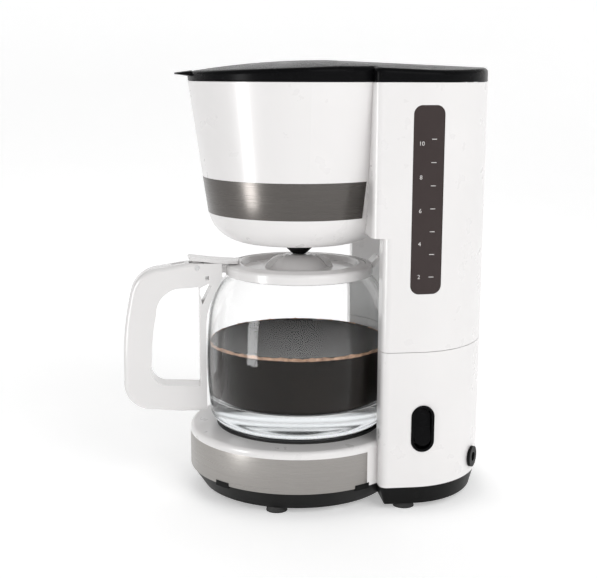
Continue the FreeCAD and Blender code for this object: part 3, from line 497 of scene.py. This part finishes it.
def crown(point, drop=0.0):
    """Height of the lid's top over a point."""
    x, y = point[0], point[1] - BASE_Y - CROWN_TOP_Y
    fall = y * y / (2 * CROWN_R) if y < 0 else CROWN_FALL * y
    return high("lid_shell").z - x * x / (2 * CROWN_R) - fall - drop


def bridge(rings):
    """Faces between rings of equal length, with a fan over the last and the first."""
    count = len(rings[0])
    vertices = [v for ring in rings for v in ring]
    faces = []
    for i in range(len(rings) - 1):
        for k in range(count):
            n = (k + 1) % count
            faces.append((i * count + k, i * count + n, (i + 1) * count + n, (i + 1) * count + k))
    for index in (len(rings) - 1, 0):
        vertices.append(sum((Vector(v) for v in rings[index]), Vector()) / count)
        for k in range(count):
            faces.append((index * count + k, index * count + (k + 1) % count, len(vertices) - 1))
    return vertices, faces


def shrunk(outline, scale):
    """Outline of the lid drawn in towards its middle."""
    return [Vector((p.x * scale, (p.y - BASE_Y - LID_MIDDLE) * scale + BASE_Y + LID_MIDDLE)) for p in outline]


def make_lid():
    uniform = [math.radians(i * 1.5) for i in range(240)]
    crease = [math.atan2(LID_FRONT - LID_MIDDLE, x * MM) for x in (66.75, 67.5, 69.0, 70.7)]
    extra = [a % (2 * math.pi) for a in crease + [math.pi - a for a in crease]]
    angles = sorted(set(round(a % (2 * math.pi), 6) for a in uniform + extra))
    bottom = low("lid_shell").z
    edge = LID_EDGE_R
    rings = []
    inner_edge = 0.4 * MM
    outline_in = lid_ring(LID_WALL, angles)
    for scale in (0.0005, 0.15, 0.35, 0.55, 0.75, 0.9, 0.97):
        rings.append([Vector((p.x, p.y, crown(p, LID_WALL))) for p in shrunk(outline_in, scale)])
    rings.append([Vector((p.x, p.y, crown(p, LID_WALL + 1.0 * MM))) for p in outline_in])
    rings.append([Vector((p.x, p.y, bottom + inner_edge)) for p in outline_in])
    for inset, lift in ((LID_WALL - inner_edge, 0.0), (inner_edge, 0.0), (0.0, inner_edge)):
        rings.append([Vector((p.x, p.y, bottom + lift)) for p in lid_ring(inset, angles)])
    flat = lid_ring(0.0, angles)
    for share in (0.25, 0.5, 0.75):
        rings.append([Vector((p.x, p.y, bottom + (crown(p, edge) - bottom) * share)) for p in flat])
    for i in range(9):
        turn = math.radians(90 * i / 8)
        ring = lid_ring(edge * (1 - math.cos(turn)), angles)
        rings.append([Vector((p.x, p.y, crown(p, edge * (1 - math.sin(turn))))) for p in ring])
    outline = lid_ring(edge, angles)
    for scale in (0.97, 0.9, 0.8, 0.7, 0.6, 0.5, 0.4, 0.3, 0.2, 0.1, 0.0005):
        rings.append([Vector((p.x, p.y, crown(p))) for p in shrunk(outline, scale)])
    vertices, faces = bridge(rings)
    lid = new_object("lid_cover", vertices, faces)
    clean(lid, 1e-6)
    sharpen(lid, 50)
    stand_for(lid, "lid_shell")
    make_lid_tab()


def make_lid_tab():
    """Thin lip at the front that a finger lifts."""
    tip = low("lid_shell").y
    top = low("lid_shell").z
    root = tip + 12.6 * MM
    half, bow = 17.0 * MM, 48.0 * MM
    rings = []
    for i in range(15):
        y = tip + 0.12 * MM + (root - tip) * (i / 14) ** 1.6
        share = (y - tip) / (root - tip)
        width = min(half, math.sqrt(max(bow ** 2 - (tip + bow - y) ** 2, 0.0)))
        upper = top + (5.9 + 1.7 * share) * MM
        lower = top + (4.5 - 1.8 * share ** 1.5) * MM
        section = []
        for k in range(24):
            turn = 2 * math.pi * k / 24
            cx, cz = math.cos(turn), math.sin(turn)
            side = math.copysign(abs(cx) ** 0.45, cx)
            rise = math.copysign(abs(cz) ** 0.6, cz)
            section.append(Vector((width * side, y, (upper + lower) / 2 + (upper - lower) / 2 * rise)))
        rings.append(section)
    vertices, faces = bridge(rings)
    tab = new_object("lid_tab", vertices, faces)
    clean(tab, 1e-6)
    sharpen(tab, 50)
    paint(tab, "black_lid")
    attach(tab, "lid")


# ---- gauge marks --------------------------------------------------------
TICK_PITCH = 16.4 * MM
NUMBER_PITCH = 23.8 * MM


def gauge_surface():
    """Distance of the window's outer face from the middle plane."""
    return high("gauge_window").x + 0.03 * MM


def make_marks():
    paint_of_marks = mark_material()
    window_low = low("gauge_window")
    left_y, right_y = window_low.y + 6.2 * MM, window_low.y + 15.2 * MM
    low_z = window_low.z + 12.6 * MM
    for i in range(7):
        z = low_z + i * TICK_PITCH
        add_mark("gauge_tick_%d" % i, right_y, z, 3.6 * MM, 0.5 * MM, paint_of_marks)
    for i in range(5):
        z = low_z + i * NUMBER_PITCH
        add_number("gauge_number_%d" % i, str(2 * (i + 1)), left_y, z, paint_of_marks)


def add_mark(name, y, z, width, height, made):
    x = gauge_surface()
    thick = 0.08 * MM
    corners = [(x + dx, y + dy * width / 2, z + dz * height / 2)
               for dx in (-thick, 0) for dy in (-1, 1) for dz in (-1, 1)]
    faces = [(0, 1, 3, 2), (4, 6, 7, 5), (0, 4, 5, 1), (2, 3, 7, 6), (0, 2, 6, 4), (1, 5, 7, 3)]
    obj = new_object(name, corners, faces, smooth=False)
    clean(obj)
    obj.data.materials.append(made)
    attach(obj, "housing")


def add_number(name, text, y, z, made):
    curve = bpy.data.curves.new(name, "FONT")
    curve.body = text
    curve.size = 4.2 * MM
    curve.extrude = 0.04 * MM
    curve.align_x = "CENTER"
    curve.align_y = "CENTER"
    source = bpy.data.objects.new(name + "_source", curve)
    bpy.context.scene.collection.objects.link(source)
    bpy.context.view_layer.update()
    mesh = bpy.data.meshes.new_from_object(source)
    bpy.data.objects.remove(source)
    upright = Matrix(((0, 0, 1, gauge_surface()), (1, 0, 0, y), (0, 1, 0, z), (0, 0, 0, 1)))
    mesh.transform(upright)
    obj = bpy.data.objects.new(name, mesh)
    bpy.context.scene.collection.objects.link(obj)
    clean(obj, 1e-6)
    obj.data.materials.clear()
    obj.data.materials.append(made)
    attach(obj, "housing")


# ---- trim bands ---------------------------------------------------------
SHEET = 0.6                  # thickness of the steel strip, mm
HEAD_TAPER = 0.1477          # how much the head's radius falls per height


def make_bands():
    for node in ("head_trim_band", "base_trim_band"):
        low_corner, high_corner = BOXES[node]
        reach = high_corner.y - BASE_Y
        z0, z1 = low_corner.z / MM, high_corner.z / MM
        if node == "head_trim_band":
            top_r = (BASE_Y - low_corner.y) / MM
            low_r = top_r - (z1 - z0) * HEAD_TAPER
        else:
            top_r = low_r = BASE_R
        outline = rounded([(low_r - SHEET, z0), (low_r, z0), (top_r, z1), (top_r - SHEET, z1)], 0.2, 3)
        end = math.degrees(math.asin(reach / ((low_r + top_r) / 2 * MM)))
        band = lathe(node + "_strip", outline, BASE_Y, 220, (-180 - end, end))
        sharpen(band, 60)
        stand_for(band, node)
        # The head band takes the darkened copy of the steel, painted shade for its dark reflection.
        if node == "head_trim_band":
            paint(band, "head_band_painted_shade")


# ---- studio -------------------------------------------------------------
def make_studio():
    bpy.context.scene.view_settings.view_transform = "Standard"
    world = bpy.data.worlds.new("studio")
    bpy.context.scene.world = world
    world.use_nodes = True
    world.node_tree.nodes["Background"].inputs["Color"].default_value = (1.0, 1.0, 1.0, 1)
    world.node_tree.nodes["Background"].inputs["Strength"].default_value = 0.42

    steps = 96
    outline = [(0.0005, 0.0), (1.0, 0.0), (2.0, 0.0)]
    outline += [(2.0 + 1.2 * math.sin(math.radians(a)), 1.2 - 1.2 * math.cos(math.radians(a)))
                for a in range(10, 91, 10)]
    vertices, faces = [], []
    for i in range(steps):
        turn = 2 * math.pi * i / steps
        vertices += [(r * math.cos(turn), r * math.sin(turn), z) for r, z in outline]
    count = len(outline)
    for i in range(steps):
        a, b = i * count, ((i + 1) % steps) * count
        faces += [(a + k, b + k, b + k + 1, a + k + 1) for k in range(count - 1)]
    floor = new_object("floor", vertices, faces)
    clean(floor)
    finish = material("floor_paper", (0.93, 0.93, 0.93), 0.9)
    spread(finish, noise(finish, 3, 2), "Base Color", (0.925, 0.925, 0.925), (0.935, 0.935, 0.935))
    shader = finish.node_tree.nodes["Principled BSDF"]
    shader.inputs["Emission Color"].default_value = (1.0, 1.0, 1.0, 1)
    shader.inputs["Emission Strength"].default_value = 0.37
    shader.inputs["Specular IOR Level"].default_value = 0.0
    floor.data.materials.append(finish)

    add_light("key", (1.7, 0.9, 1.5), 1.4, 15)
    add_light("left", (0.5, -1.7, 1.3), 1.3, 1.2)
    add_light("back", (-1.5, -0.3, 1.6), 1.2, 6.5)
    strip = add_light("strip", (0.26, -0.50, 0.16), 0.13, 2.2, 0.5)
    strip.visible_diffuse = False        # seen in the gloss only
    strip.rotation_euler = (math.radians(90), 0, math.radians(25.7))


def add_light(name, place, size, power, height=None):
    lamp = bpy.data.lights.new(name, "AREA")
    lamp.size = size
    if height:
        lamp.shape = "RECTANGLE"
        lamp.size_y = height
    lamp.energy = power
    obj = bpy.data.objects.new(name, lamp)
    bpy.context.scene.collection.objects.link(obj)
    obj.location = place
    aim = Vector((0, 0, 0.16)) - Vector(place)
    obj.rotation_euler = aim.to_track_quat("-Z", "Y").to_euler()
    obj.visible_camera = False
    return obj


def make_camera():
    """Camera at the side with the water gauge, a little in front of the tower and above."""
    lens = bpy.data.cameras.new("camera")
    camera = bpy.data.objects.new("camera", lens)
    bpy.context.scene.collection.objects.link(camera)
    bpy.context.scene.camera = camera
    lens.sensor_width = 36
    lens.lens = 68.55
    turn, tilt, roll = math.radians(83.07), math.radians(10.77), math.radians(0.22)
    forward = Vector((-math.sin(turn) * math.cos(tilt), math.cos(turn) * math.cos(tilt), -math.sin(tilt)))
    side = forward.cross(Vector((0, 0, 1))).normalized()
    top = side.cross(forward)
    right = side * math.cos(roll) + top * math.sin(roll)
    upward = top * math.cos(roll) - side * math.sin(roll)
    turned = Matrix((right, upward, -forward)).transposed().to_4x4()
    camera.matrix_world = Matrix.Translation((0.8635, BASE_Y - 0.1036, 0.3208)) @ turned


make_camera()
make_studio()
dress_cad_nodes()
make_carafe()
make_lid()
make_marks()
make_bands()
